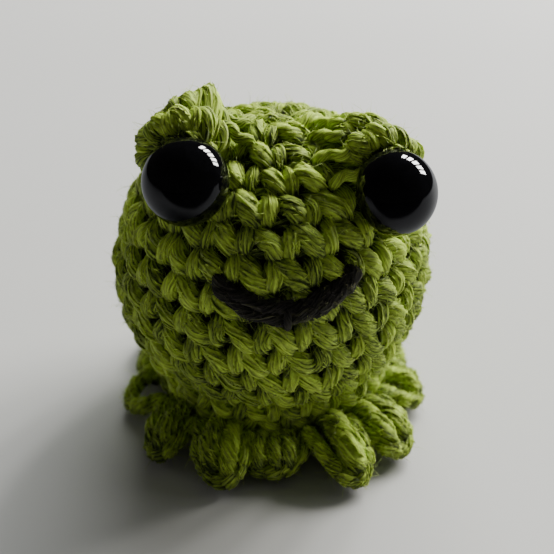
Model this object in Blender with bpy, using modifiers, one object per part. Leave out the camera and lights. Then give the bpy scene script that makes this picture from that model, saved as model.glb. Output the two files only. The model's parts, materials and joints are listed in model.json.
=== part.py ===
"""Crocheted frog toy: a stuffed yarn ball with eye mounds, safety eyes, a sewn smile and a skirt of lobes.

Run with: blender --background --python part.py
Units are metres and +Z is up. The face looks along -Y and the origin is the centre of the resting face.
Left and right are the toy's own: its left eye is at +X.
"""

import math

import bmesh
import bpy
from mathutils import Matrix, Vector

MM = 0.001
GAP = 0.3 * MM

# Head: a crocheted cover round a ball of stuffing, flattened where it rests.
HEAD_RADIUS = 24.5 * MM
HEAD_CENTRE = Vector((0.0, 0.0, 24.0 * MM))
WALL = 2.6 * MM
STUFFING_CLEARANCE = 0.4 * MM
CLOSING_HOLE_RADIUS = 2.6 * MM
CLOSING_YARN_RADIUS = 0.9 * MM
CLOSING_KNOT_RADIUS = CLOSING_HOLE_RADIUS - GAP
CLOSING_TAIL_TOP = 9.0 * MM

# Eyes: a domed head on a stem that passes through mound and cover to a washer inside.
EYE_RADIUS = 6.0 * MM
EYE_HEIGHT = 5.6 * MM
EYE_RIM = 0.8 * MM
STEM_RADIUS = 2.1 * MM
STEM_LENGTH = 12.4 * MM
WASHER_RADIUS = 5.2 * MM
WASHER_THICKNESS = 1.1 * MM
WASHER_DEPTH = 10.3 * MM
EYES = {
    "right": {"centre": (-44.2, 47.6, 27.5 * MM), "axis": (-25.0, 35.0)},
    "left": {"centre": (47.0, 40.0, 27.5 * MM), "axis": (28.0, 33.0)},
}

# Eye mounds: hollow caps sewn to the cover behind and above each eye.
MOUND_RADIUS = 7.3 * MM
MOUND_WALL = 2.3 * MM
MOUNDS = {
    "right": Vector((-12.9, -4.7, 22.1)) * MM,
    "left": Vector((13.8, -6.7, 19.3)) * MM,
}
SEWING_YARN_RADIUS = 0.8 * MM
SEWING_OPEN_ANGLE = 56.0

# Smile: black yarn laid in a groove, tacked at its lowest point and knotted inside.
SMILE_YARN_RADIUS = 1.45 * MM
SMILE_SEAT = HEAD_RADIUS - 0.2 * MM
SMILE_INNER_END = 20.2 * MM
SMILE_CORNERS = (-25.0, 22.5)
SMILE_CORNER_ELEVATION = 22.2
SMILE_BOTTOM_ELEVATION = 11.8
TACK_YARN_RADIUS = 0.6 * MM
TACK_AZIMUTH = -1.0
KNOT_SEAT = 20.7 * MM
KNOT_YARN_RADIUS = 0.7 * MM

# Skirt: a foundation round under the ball, with petal-shaped lobes that flex at their roots.
BAND_RADIUS = 1.3 * MM
BAND_ELEVATION = -50.0
LOBE_ROOT = BAND_RADIUS + 0.4 * MM
LOBES = (
    # azimuth in degrees, length in mm, share of the full width; from the front round by the toy's left side
    (-2.0, 7.6, 0.88),
    (19.0, 10.6, 0.88),
    (40.0, 9.6, 0.90),
    (67.0, 6.5, 0.94),
    (91.0, 3.6, 0.90),
    (115.0, 6.5, 0.94),
    (139.0, 7.5, 0.94),
    (163.0, 7.5, 0.94),
    (187.0, 7.5, 0.94),
    (211.0, 7.5, 0.94),
    (235.0, 6.5, 0.94),
    (260.0, 3.6, 0.90),
    (284.0, 6.4, 0.94),
    (310.0, 8.6, 0.94),
    (335.0, 10.0, 0.93),
)
LOBE_STATIONS = (
    # share of the length, then half width, half thickness and drop below the root in mm, before rounding
    (0.00, 3.4, 1.5, 0.0),
    (0.25, 4.3, 2.2, 0.2),
    (0.60, 5.2, 2.9, 0.6),
    (0.90, 4.6, 2.7, 0.8),
    (1.00, 2.6, 1.6, 0.9),
)

YARN_GREEN = (0.36, 0.44, 0.08)
YARN_BLACK = (0.012, 0.012, 0.013)
EYE_BLACK = (0.005, 0.005, 0.006)
WASHER_WHITE = (0.80, 0.80, 0.76)
FIBREFILL_WHITE = (0.88, 0.88, 0.86)


def clear_scene():
    for obj in list(bpy.data.objects):
        bpy.data.objects.remove(obj)


def new_collection(name):
    collection = bpy.data.collections.new(name)
    bpy.context.scene.collection.children.link(collection)
    return collection


def make_material(name, colour, roughness):
    material = bpy.data.materials.new(name)
    material.use_nodes = True
    shader = material.node_tree.nodes["Principled BSDF"]
    shader.inputs["Base Color"].default_value = (*colour, 1.0)
    shader.inputs["Roughness"].default_value = roughness
    shader.inputs["Metallic"].default_value = 0.0
    return material


def direction(azimuth, elevation):
    """Unit vector for degrees round from the face (-Y) towards +X, and degrees above level."""
    a = math.radians(azimuth)
    e = math.radians(elevation)
    return Vector((math.sin(a) * math.cos(e), -math.cos(a) * math.cos(e), math.sin(e)))


def on_head(azimuth, elevation, radius):
    return HEAD_CENTRE + radius * direction(azimuth, elevation)


def arc(radius, start, end, count, height=None):
    """Points (x, z) on a circle, or an ellipse of the given height, between two angles in degrees above X."""
    rise = radius if height is None else height
    points = []
    for i in range(count + 1):
        angle = math.radians(start + (end - start) * i / count)
        points.append((radius * math.cos(angle), rise * math.sin(angle)))
    return points


def add_object(name, mesh, material, collection):
    obj = bpy.data.objects.new(name, mesh)
    if material is not None:
        mesh.materials.append(material)
    collection.objects.link(obj)
    return obj


def turned(name, profile, steps, material, collection):
    """A solid of revolution about Z from (x, z) points that run down the outer side."""
    mesh = bpy.data.meshes.new(name)
    vertices = [(x, 0.0, z) for x, z in profile]
    edges = [(i, i + 1) for i in range(len(vertices) - 1)]
    mesh.from_pydata(vertices, edges, [])
    obj = add_object(name, mesh, material, collection)
    screw = obj.modifiers.new("turn", "SCREW")
    screw.steps = steps
    screw.render_steps = steps
    screw.use_merge_vertices = True
    screw.merge_threshold = 0.000001
    screw.use_smooth_shade = True
    return obj


def ball(name, radius, segments, rings, material, collection):
    mesh = bpy.data.meshes.new(name)
    bm = bmesh.new()
    bmesh.ops.create_uvsphere(bm, u_segments=segments, v_segments=rings, radius=radius)
    bm.to_mesh(mesh)
    bm.free()
    mesh.shade_smooth()
    return add_object(name, mesh, material, collection)


def tube(name, points, radius, material, collection, sides=3):
    """A capped tube along a polyline, made a mesh so that it can be cut or can cut."""
    curve = bpy.data.curves.new(name, "CURVE")
    curve.dimensions = "3D"
    curve.bevel_depth = radius
    curve.bevel_resolution = sides - 1
    curve.use_fill_caps = True
    spline = curve.splines.new("POLY")
    spline.points.add(len(points) - 1)
    for target, point in zip(spline.points, points):
        target.co = (*point, 1.0)
    guide = bpy.data.objects.new(name + "_path", curve)
    collection.objects.link(guide)
    evaluated = guide.evaluated_get(bpy.context.evaluated_depsgraph_get())
    mesh = bpy.data.meshes.new_from_object(evaluated)
    bm = bmesh.new()
    bm.from_mesh(mesh)
    bmesh.ops.remove_doubles(bm, verts=bm.verts, dist=0.000001)
    bmesh.ops.recalc_face_normals(bm, faces=bm.faces)
    bm.to_mesh(mesh)
    bm.free()
    mesh.shade_smooth()
    bpy.data.objects.remove(guide)
    mesh.materials.clear()
    return add_object(name, mesh, material, collection)


def cut(target, cutter):
    modifier = target.modifiers.new("cut_" + cutter.name, "BOOLEAN")
    modifier.operation = "DIFFERENCE"
    modifier.solver = "EXACT"
    modifier.object = cutter


def as_cutter(obj):
    obj.hide_render = True
    obj.display_type = "WIRE"
    return obj


def aim(axis, location):
    """A matrix that turns +Z to the axis and moves the origin to the location."""
    turn = axis.to_track_quat("Z", "Y").to_matrix().to_4x4()
    return Matrix.Translation(location) @ turn


def eye_centre(side):
    azimuth, elevation, radius = EYES[side]["centre"]
    return on_head(azimuth, elevation, radius)


def eye_axis(side):
    return direction(*EYES[side]["axis"])


def head_cover(material, parts):
    bottom = HEAD_CENTRE.z
    inner = HEAD_RADIUS - WALL
    outer_foot = math.degrees(math.asin(bottom / HEAD_RADIUS))
    inner_foot = math.degrees(math.asin((bottom - WALL) / inner))
    profile = arc(HEAD_RADIUS, 90, -outer_foot, 14)
    profile.append((CLOSING_HOLE_RADIUS, -bottom))
    profile.append((CLOSING_HOLE_RADIUS, WALL - bottom))
    profile += arc(inner, -inner_foot, 90, 10)
    obj = turned("head_cover", profile, 32, material, parts)
    obj.location = HEAD_CENTRE
    return obj


def stuffing(material, parts):
    radius = HEAD_RADIUS - WALL - STUFFING_CLEARANCE
    bottom = HEAD_CENTRE.z - WALL - STUFFING_CLEARANCE
    foot = math.degrees(math.asin(bottom / radius))
    tail_top = CLOSING_TAIL_TOP + 2 * GAP - HEAD_CENTRE.z
    profile = arc(radius, 90, -foot, 10)
    profile.append((CLOSING_HOLE_RADIUS, -bottom))
    profile.append((CLOSING_HOLE_RADIUS, tail_top))
    profile.append((0.0, tail_top))
    obj = turned("stuffing", profile, 24, material, parts)
    obj.location = HEAD_CENTRE
    return obj


def closing_yarn(material, parts):
    """The knot that draws the last round together, level with the flat, and its tail up into the stuffing."""
    profile = [
        (0.0, CLOSING_TAIL_TOP),
        (0.7 * CLOSING_YARN_RADIUS, CLOSING_TAIL_TOP - 0.2 * MM),
        (CLOSING_YARN_RADIUS, CLOSING_TAIL_TOP - 0.8 * MM),
        (CLOSING_YARN_RADIUS, 2.2 * MM),
        (1.5 * CLOSING_YARN_RADIUS, 1.8 * MM),
        (CLOSING_KNOT_RADIUS - 0.2 * MM, 1.3 * MM),
        (CLOSING_KNOT_RADIUS, 0.7 * MM),
        (CLOSING_KNOT_RADIUS - 0.3 * MM, 0.0),
        (0.0, 0.0),
    ]
    return turned("closing_yarn", profile, 20, material, parts)


def safety_eye(side, material, parts):
    """A domed eye on a ribbed stem, in its own axes: the dome's centre is the origin and +Z looks out."""
    profile = arc(EYE_RADIUS, 90, 0, 8, EYE_HEIGHT)
    profile.append((EYE_RADIUS * 0.985, -0.6 * EYE_RIM))
    profile.append((EYE_RADIUS * 0.92, -EYE_RIM))
    profile.append((STEM_RADIUS, -EYE_RIM))
    rib_pitch = 1.6 * MM
    for i in range(2):
        top = -WASHER_DEPTH + 2.6 * MM - i * rib_pitch
        profile.append((STEM_RADIUS, top))
        profile.append((STEM_RADIUS * 0.88, top - 0.15 * MM))
        profile.append((STEM_RADIUS, top - rib_pitch * 0.75))
    profile.append((STEM_RADIUS, -STEM_LENGTH + 0.5 * MM))
    profile.append((STEM_RADIUS * 0.75, -STEM_LENGTH))
    profile.append((0.0, -STEM_LENGTH))
    obj = turned(side + "_eye", profile, 22, material, parts)
    obj.matrix_world = aim(eye_axis(side), eye_centre(side))
    return obj


def eye_washer(side, material, parts):
    hole = STEM_RADIUS + GAP
    top = -WASHER_DEPTH
    bottom = top - WASHER_THICKNESS
    middle = (WASHER_RADIUS + hole) / 2
    crown = 0.3 * MM
    profile = [
        (hole, top),
        (middle, top + crown),
        (WASHER_RADIUS, top),
        (WASHER_RADIUS, bottom),
        (hole, bottom),
        (hole, top),
    ]
    obj = turned(side + "_eye_washer", profile, 20, material, parts)
    obj.matrix_world = aim(eye_axis(side), eye_centre(side))
    return obj


def eye_cutters(side, cutters):
    """The eye's seat, the hole its stem turns in and the pocket its washer turns in."""
    frame = aim(eye_axis(side), eye_centre(side))
    seat_profile = arc(EYE_RADIUS + GAP, 90, 0, 9, EYE_HEIGHT + GAP)
    seat_profile.append((EYE_RADIUS + GAP, -EYE_RIM - GAP))
    seat_profile.append((0.0, -EYE_RIM - GAP))
    seat = as_cutter(turned(side + "_eye_seat", seat_profile, 24, None, cutters))
    hole_radius = STEM_RADIUS + 0.5 * MM
    hole_profile = [(0.0, 1.0 * MM), (hole_radius, 1.0 * MM)]
    hole_profile += [(hole_radius, -STEM_LENGTH - GAP), (0.0, -STEM_LENGTH - GAP)]
    hole = as_cutter(turned(side + "_stem_hole", hole_profile, 20, None, cutters))
    pocket_radius = WASHER_RADIUS + 2 * GAP
    pocket_bottom = -STEM_LENGTH - 2 * GAP
    pocket_profile = [(0.0, 0.0), (pocket_radius, 0.0)]
    pocket_profile += [(pocket_radius, pocket_bottom), (0.0, pocket_bottom)]
    pocket = as_cutter(turned(side + "_washer_pocket", pocket_profile, 24, None, cutters))
    for cutter in (seat, hole, pocket):
        cutter.matrix_world = frame
    return seat, hole, pocket


def eye_mound(side, seat, hole, head_space, material, parts, cutters):
    """A hollow cap behind the eye, trimmed to the ball it is sewn to and to the eye it holds."""
    centre = HEAD_CENTRE + MOUNDS[side]
    obj = ball(side + "_eye_mound", MOUND_RADIUS, 24, 14, material, parts)
    obj.location = centre
    hollow = as_cutter(ball(side + "_mound_hollow", MOUND_RADIUS - MOUND_WALL, 18, 10, None, cutters))
    hollow.location = centre
    for cutter in (hollow, head_space, seat, hole):
        cut(obj, cutter)
    return obj


def sewing_yarn(side, material, parts):
    """Yarn in the groove between a mound and the ball, open where the eye clamps both together."""
    offset = MOUNDS[side]
    distance = offset.length
    to_ball = HEAD_RADIUS + SEWING_YARN_RADIUS + GAP
    to_mound = MOUND_RADIUS + SEWING_YARN_RADIUS + GAP
    along = (distance**2 + to_ball**2 - to_mound**2) / (2 * distance)
    ring_radius = math.sqrt(to_ball**2 - along**2)
    normal = offset.normalized()
    to_eye = eye_centre(side) - HEAD_CENTRE
    first = (to_eye - normal * to_eye.dot(normal)).normalized()
    second = normal.cross(first)
    points = []
    count = 22
    for i in range(count + 1):
        angle = math.radians(SEWING_OPEN_ANGLE + (360 - 2 * SEWING_OPEN_ANGLE) * i / count)
        spoke = first * math.cos(angle) + second * math.sin(angle)
        points.append(HEAD_CENTRE + normal * along + spoke * ring_radius)
    return tube(side + "_mound_sewing", points, SEWING_YARN_RADIUS, material, parts)


def smile_elevation(azimuth):
    left, right = SMILE_CORNERS
    share = 2 * (azimuth - left) / (right - left) - 1
    return SMILE_BOTTOM_ELEVATION + (SMILE_CORNER_ELEVATION - SMILE_BOTTOM_ELEVATION) * share**2


def smile_path():
    """From inside the head, out at one corner of the mouth, along the smile and back in at the other."""
    left, right = SMILE_CORNERS
    points = [on_head(left, SMILE_CORNER_ELEVATION, SMILE_INNER_END)]
    count = 16
    for i in range(count + 1):
        azimuth = left + (right - left) * i / count
        points.append(on_head(azimuth, smile_elevation(azimuth), SMILE_SEAT))
    points.append(on_head(right, SMILE_CORNER_ELEVATION, SMILE_INNER_END))
    return points


def tack_path():
    """An arch over the middle of the smile, with both feet pushed into the cover."""
    elevation = smile_elevation(TACK_AZIMUTH)
    centre = on_head(TACK_AZIMUTH, elevation, SMILE_SEAT)
    outward = direction(TACK_AZIMUTH, elevation)
    upward = direction(TACK_AZIMUTH, elevation + 90)
    arch = SMILE_YARN_RADIUS + TACK_YARN_RADIUS + GAP
    foot = -1.4 * MM
    points = [centre + upward * arch + outward * foot]
    for i in range(9):
        angle = math.pi * i / 8
        points.append(centre + upward * arch * math.cos(angle) + outward * arch * math.sin(angle))
    points.append(centre - upward * arch + outward * foot)
    return points


def smile_knot(name, azimuth, material, parts):
    """A knot round the smile yarn's inner end, flat against the inside of the cover."""
    bpy.ops.mesh.primitive_torus_add(
        major_radius=SMILE_YARN_RADIUS + KNOT_YARN_RADIUS + GAP,
        minor_radius=KNOT_YARN_RADIUS,
        major_segments=16,
        minor_segments=8,
    )
    return place_primitive(
        name,
        aim(direction(azimuth, SMILE_CORNER_ELEVATION), on_head(azimuth, SMILE_CORNER_ELEVATION, KNOT_SEAT)),
        material,
        parts,
    )


def place_primitive(name, matrix, material, parts):
    obj = bpy.context.object
    for collection in list(obj.users_collection):
        collection.objects.unlink(obj)
    parts.objects.link(obj)
    obj.name = name
    obj.data.name = name
    obj.data.materials.append(material)
    obj.data.shade_smooth()
    obj.matrix_world = matrix
    return obj


def band_line_radius():
    return HEAD_RADIUS + GAP + BAND_RADIUS


def skirt_band(material, parts):
    line = on_head(0.0, BAND_ELEVATION, band_line_radius())
    bpy.ops.mesh.primitive_torus_add(
        major_radius=-line.y,
        minor_radius=BAND_RADIUS,
        major_segments=45,
        minor_segments=8,
    )
    return place_primitive("skirt_band", Matrix.Translation((0.0, 0.0, line.z)), material, parts)


def lobe_mesh(name, length, width_share):
    """A petal with its root along Y at x = LOBE_ROOT, from a cube cut into stations along X."""
    mesh = bpy.data.meshes.new(name)
    bm = bmesh.new()
    bmesh.ops.create_cube(bm, size=2.0)
    lengthwise = [e for e in bm.edges if abs(e.verts[0].co.x - e.verts[1].co.x) > 1]
    bmesh.ops.subdivide_edges(bm, edges=lengthwise, cuts=len(LOBE_STATIONS) - 2, use_grid_fill=True)
    crosswise = [e for e in bm.edges if abs(e.verts[0].co.y - e.verts[1].co.y) > 1]
    bmesh.ops.subdivide_edges(bm, edges=crosswise, cuts=1, use_grid_fill=True)
    last = len(LOBE_STATIONS) - 1
    for vertex in bm.verts:
        station = LOBE_STATIONS[round((vertex.co.x + 1) / 2 * last)]
        share, half_width, half_thickness, drop = station
        edge_share = 1.0 - 0.25 * abs(vertex.co.y)
        vertex.co.x = LOBE_ROOT + share * length
        vertex.co.y = vertex.co.y * half_width * width_share * MM
        vertex.co.z = (vertex.co.z * half_thickness * edge_share - drop) * MM
    bm.to_mesh(mesh)
    bm.free()
    mesh.shade_smooth()
    return mesh


def skirt_lobe(index, material, parts):
    """A lobe under an empty on its flex line, whose X looks outwards and Y runs along the band."""
    azimuth, length, width_share = LOBES[index]
    name = "skirt_lobe_%02d" % (index + 1)
    root = bpy.data.objects.new(name + "_flex", None)
    parts.objects.link(root)
    root.location = on_head(azimuth, BAND_ELEVATION, band_line_radius())
    root.rotation_euler = (0.0, 0.0, math.radians(azimuth - 90.0))
    obj = add_object(name, lobe_mesh(name, length * MM, width_share), material, parts)
    obj.parent = root
    smooth = obj.modifiers.new("round", "SUBSURF")
    smooth.levels = 1
    smooth.render_levels = 1
    return obj


def build():
    clear_scene()
    parts = new_collection("crocheted_frog")
    cutters = new_collection("cutters")
    green = make_material("green_yarn", YARN_GREEN, 0.85)
    black_yarn = make_material("black_yarn", YARN_BLACK, 0.9)
    eye_black = make_material("eye_black", EYE_BLACK, 0.06)
    washer_white = make_material("washer_white", WASHER_WHITE, 0.45)
    fibrefill = make_material("fibrefill", FIBREFILL_WHITE, 0.95)

    cover = head_cover(green, parts)
    fill = stuffing(fibrefill, parts)
    closing_yarn(green, parts)
    head_space = as_cutter(ball("head_space", HEAD_RADIUS + GAP, 48, 32, None, cutters))
    head_space.location = HEAD_CENTRE

    for side in EYES:
        seat, hole, pocket = eye_cutters(side, cutters)
        safety_eye(side, eye_black, parts)
        eye_washer(side, washer_white, parts)
        eye_mound(side, seat, hole, head_space, green, parts, cutters)
        sewing_yarn(side, green, parts)
        cut(cover, hole)
        cut(fill, pocket)

    tube("smile_yarn", smile_path(), SMILE_YARN_RADIUS, black_yarn, parts)
    groove = as_cutter(tube("smile_groove", smile_path(), SMILE_YARN_RADIUS + GAP, None, cutters))
    tube("smile_tack", tack_path(), TACK_YARN_RADIUS, black_yarn, parts)
    tack_holes = as_cutter(tube("tack_holes", tack_path(), TACK_YARN_RADIUS + GAP, None, cutters))
    cut(cover, groove)
    cut(cover, tack_holes)
    knot_radius = SMILE_YARN_RADIUS + 2 * KNOT_YARN_RADIUS + 2 * GAP
    for side, azimuth in zip(("right", "left"), SMILE_CORNERS):
        smile_knot("smile_knot_" + side, azimuth, black_yarn, parts)
        room = as_cutter(ball("knot_room_" + side, knot_radius, 16, 10, None, cutters))
        room.location = on_head(azimuth, SMILE_CORNER_ELEVATION, KNOT_SEAT + GAP)
        cut(fill, room)

    skirt_band(green, parts)
    for index in range(len(LOBES)):
        skirt_lobe(index, green, parts)


build()
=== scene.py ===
"""Looks of a crocheted frog toy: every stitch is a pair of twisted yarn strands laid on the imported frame.

Geometry is worked out in millimetres and written to the meshes in metres. Azimuth 0 is the face (-Y) and
grows towards +X; elevation is above level. The toy's own left is +X.
"""

import json
import math

import bpy
import numpy as np
from mathutils import Matrix, Vector


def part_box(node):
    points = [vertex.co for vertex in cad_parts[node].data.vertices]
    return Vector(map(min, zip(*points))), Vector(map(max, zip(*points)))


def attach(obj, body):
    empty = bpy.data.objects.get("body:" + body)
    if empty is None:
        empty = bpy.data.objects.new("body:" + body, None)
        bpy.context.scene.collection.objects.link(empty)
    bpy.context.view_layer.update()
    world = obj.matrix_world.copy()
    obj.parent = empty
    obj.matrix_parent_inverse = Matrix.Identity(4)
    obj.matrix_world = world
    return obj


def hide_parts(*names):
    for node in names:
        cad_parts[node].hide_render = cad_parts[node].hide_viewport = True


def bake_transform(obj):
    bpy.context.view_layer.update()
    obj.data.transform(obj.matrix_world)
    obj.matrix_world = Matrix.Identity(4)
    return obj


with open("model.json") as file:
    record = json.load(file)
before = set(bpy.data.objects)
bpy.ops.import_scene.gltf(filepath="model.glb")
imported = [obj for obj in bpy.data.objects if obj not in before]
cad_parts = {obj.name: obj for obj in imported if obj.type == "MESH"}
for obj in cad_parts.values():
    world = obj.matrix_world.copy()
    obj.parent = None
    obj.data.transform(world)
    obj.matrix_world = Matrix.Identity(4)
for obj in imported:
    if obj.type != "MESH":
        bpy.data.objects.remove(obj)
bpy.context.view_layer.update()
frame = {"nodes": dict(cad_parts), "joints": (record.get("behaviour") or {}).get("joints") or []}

MM = 0.001
SEED = 20261

# The head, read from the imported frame.
cover_low, cover_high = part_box("head_cover")
HEAD_RADIUS = (cover_high.x - cover_low.x) / 2 / MM
HEAD_CENTRE = np.array([0.0, 0.0, cover_high.z / MM - HEAD_RADIUS])

# Yarn: how many plies a strand has, how deep the grooves between them are as a share of its radius, how far
# each ply strays (radians) and how much one is thicker than another and along itself, how the plies twist
# (radians round for each radius along) and how far apart the rings of the mesh are.
PLIES = 20
VERTS_PER_PLY = 2
PLY_DEPTH = 0.11
PLY_STRAY = 0.26
PLY_BULGE = 0.09
PLY_SWELL = 0.08
TWIST = -0.62
RING_STEP = 0.40
YARN_RADIUS = 1.55
TUFT_BEND_RADIUS = 1.8

# Crochet rounds of the head, from the crown down.
ROW_ANGLE = 11.0
FIRST_ROW_EDGE = 4.0
ROUND_COUNTS = (6, 11, 15, 18, 21, 24, 24, 24, 24, 24, 24, 21, 18, 12, 6)
ROUND_START_STEP = 5.4
FULL_STITCH_WIDTH = 5.2
CREST = 2.0
FABRIC_RADIUS = HEAD_RADIUS - CREST


def unit(v):
    v = np.asarray(v, float)
    return v / np.linalg.norm(v)


def unit_rows(rows):
    return rows / np.linalg.norm(rows, axis=1)[:, None]


def direction(azimuth, elevation):
    a = math.radians(azimuth)
    e = math.radians(elevation)
    return np.array([math.sin(a) * math.cos(e), -math.cos(a) * math.cos(e), math.sin(e)])


def on_head(azimuth, elevation, radius):
    return HEAD_CENTRE + radius * direction(azimuth, elevation)


def add_object(name, data):
    obj = bpy.data.objects.new(name, data)
    bpy.context.scene.collection.objects.link(obj)
    return obj


def smooth_path(points, step):
    """Even points along a Catmull-Rom curve through the given ones."""
    p = np.asarray(points, float)
    ends = np.vstack([2 * p[0] - p[1], p, 2 * p[-1] - p[-2]])
    dense = []
    for i in range(len(p) - 1):
        a, b, c, d = ends[i : i + 4]
        t = np.linspace(0, 1, 12, endpoint=False)[:, None]
        dense.append(
            0.5 * (2 * b + (c - a) * t + (2 * a - 5 * b + 4 * c - d) * t**2 + (3 * b - a - 3 * c + d) * t**3)
        )
    dense.append(p[-1:])
    dense = np.vstack(dense)
    run = np.concatenate([[0], np.cumsum(np.linalg.norm(np.diff(dense, axis=0), axis=1))])
    count = max(5, int(round(run[-1] / step)) + 1)
    at = np.linspace(0, run[-1], count)
    return np.stack([np.interp(at, run, dense[:, k]) for k in range(3)], 1), at


def path_frames(path, hint):
    """Tangents and two normals along a path, carried along it without twisting."""
    tangents = np.gradient(path, axis=0)
    tangents /= np.linalg.norm(tangents, axis=1)[:, None]
    first = np.zeros_like(path)
    normal = hint - tangents[0] * (hint @ tangents[0])
    if np.linalg.norm(normal) < 1e-3:
        normal = np.cross(tangents[0], [0.31, 0.71, 0.63])
    for i, t in enumerate(tangents):
        normal = normal - t * (normal @ t)
        normal = normal / np.linalg.norm(normal)
        first[i] = normal
    return tangents, first, np.cross(tangents, first)


class YarnPiece:
    """Collects strands of twisted yarn and turns them into one mesh object.

    For each vertex it keeps where it is, which way is out of the yarn, which way the ply lies, the place in
    the fibre pattern and the shade: crest of its ply, which paints shade into the grooves between plies, tone
    of its strand, and how open to view it is, which paints shade where the yarn tucks in.
    """

    def __init__(self, name, seed):
        self.name = name
        self.random = np.random.default_rng([SEED, seed])
        self.verts = []
        self.outs = []
        self.lays = []
        self.fibre = []
        self.shade = []
        self.faces = []
        self.places = []
        self.cells = 0
        self.count = 0

    def strand(self, points, radius, hint=(0, 0, 1), plies=PLIES, flat=1.0, twist=TWIST, step=RING_STEP):
        """One closed length of yarn. flat below 1 presses it thinner along hint."""
        rng = self.random
        path, run = smooth_path(points, step)
        hint = unit(hint)
        tangents, e1, e2 = path_frames(path, hint)
        rings = len(path)
        sides = plies * VERTS_PER_PLY
        ply = np.arange(sides) // VERTS_PER_PLY
        crest = np.abs(np.sin(np.pi * (np.arange(sides) % VERTS_PER_PLY) / VERTS_PER_PLY))
        around = 2 * math.pi * np.arange(sides) / sides
        phase = rng.uniform(0, 2 * math.pi)
        wobble = rng.uniform(0, 2 * math.pi, (2, plies))[:, None, ply]
        pace = rng.uniform(0.6, 1.5, (2, plies))[:, None, ply]
        stray, swell = np.sin(run[:, None] * pace + wobble)
        angle = around + phase + (twist / radius) * run[:, None] + PLY_STRAY * stray
        closeness = np.minimum(run, run[-1] - run)
        ends = np.clip(closeness / (0.9 * radius), 0, 1)
        ends = np.sqrt(np.clip(1 - (1 - ends) ** 2, 0.06, 1))
        # How open to view each ring is: near the strand's ends, where it dives in, the material paints it
        # darker as shade.
        opened = np.clip(closeness / (1.5 * radius), 0, 1)
        bulge = 1 + rng.uniform(-PLY_BULGE, PLY_BULGE, plies)[ply] + PLY_SWELL * swell
        size = radius * ends[:, None] * (1 - PLY_DEPTH * (1 - crest)) * bulge
        spoke = np.cos(angle)[..., None] * e1[:, None, :] + np.sin(angle)[..., None] * e2[:, None, :]
        offset = size[..., None] * spoke
        if flat != 1.0:
            offset -= (1 - flat) * (offset @ hint)[..., None] * hint
        body = path[:, None, :] + offset
        self.verts += [body.reshape(-1, 3), path[[0, -1]]]
        self.outs += [spoke.reshape(-1, 3), np.stack([-tangents[0], tangents[-1]])]
        lay = tangents[:, None, :] + twist * np.cross(tangents[:, None, :], spoke)
        self.lays += [unit_rows(lay.reshape(-1, 3)), tangents[[0, -1]]]
        seed = rng.uniform(0, 60)
        fibre = np.zeros((rings, sides, 3))
        fibre[..., 0] = np.cos(around)
        fibre[..., 1] = np.sin(around)
        fibre[..., 2] = (run[:, None] + seed) / 10.0
        tone = rng.uniform(0, 1)
        # Painted shade in the grooves from the crest, a random tone for the strand, and painted shade from
        # openness.
        shade = np.zeros((rings, sides, 3))
        shade[..., 0] = crest
        shade[..., 1] = tone
        shade[..., 2] = opened[:, None]
        tail = np.array([[0, 0, (run[0] + seed) / 10.0], [0, 0, (run[-1] + seed) / 10.0]])
        self.fibre += [fibre.reshape(-1, 3), tail]
        # The end caps get half a crest and little openness, so they are painted darker as shade.
        self.shade += [shade.reshape(-1, 3), np.array([[0.5, tone, 0.2]] * 2)]
        self.strand_faces(rings, sides)
        self.count += rings * sides + 2

    def strand_faces(self, rings, sides):
        """Walls and end caps of the strand whose vertices start at count, with their places in the layout."""
        grid = self.count + np.arange(rings * sides).reshape(rings, sides)
        turned = np.roll(grid, -1, axis=1)
        self.faces.append(np.stack([grid[:-1], turned[:-1], turned[1:], grid[1:]], -1).reshape(-1, 4))
        i, k = np.meshgrid(np.arange(rings - 1), np.arange(sides), indexing="ij")
        corners = np.stack([i, k, i, k + 1, i + 1, k + 1, i + 1, k], -1).reshape(-1, 4, 2)
        self.place_faces(corners / np.array([rings - 1, sides]))

        low = np.full(sides, self.count + rings * sides)
        none = np.full(sides, -1)
        self.faces.append(np.stack([turned[0], grid[0], low, none], -1))
        self.faces.append(np.stack([grid[-1], turned[-1], low + 1, none], -1))
        end = np.arange(sides)
        cap = np.zeros((2, sides, 4, 2))
        cap[0, :, :, 1] = np.stack([end + 1, end, end + 0.5, end], -1) / sides
        cap[1, :, :, 1] = np.stack([end, end + 1, end + 0.5, end], -1) / sides
        cap[1, :, :, 0] = 1.0
        cap[0, :, 2, 0] = -0.04
        cap[1, :, 2, 0] = 1.04
        self.place_faces(cap.reshape(-1, 4, 2))
        self.cells += 1

    def place_faces(self, corners):
        """Notes where faces go in the flattened layout: the cell's number, then the place in that cell."""
        cell = np.full((len(corners), 4, 1), float(self.cells))
        self.places.append(np.concatenate([cell, corners], axis=2))

    def fuzz(self, count, length=1.5, radius=0.030):
        """Loose fibres standing off the yarn."""
        rng = self.random
        root = self.open_places(count)
        out = np.vstack(self.outs)[root]
        along = unit_rows(rng.normal(0, 1, (count, 3)))
        standing = rng.uniform(0.2, 1.0, (count, 1))
        heading = unit_rows(out * standing + 0.8 * along)
        side = unit_rows(np.cross(heading, rng.normal(0, 1, (count, 3))))
        reach = length * rng.uniform(0.35, 1.5, (count, 1)) ** 1.3
        bend = reach * rng.uniform(0.1, 0.6, (count, 1))
        base = np.vstack(self.verts)[root] - 0.05 * out
        share = np.linspace(0, 1, 4)
        middle = [base + heading * reach * t + side * bend * t * t for t in share]
        self.hairs(middle, heading, side, radius * (1 - 0.5 * share), root)

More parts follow.
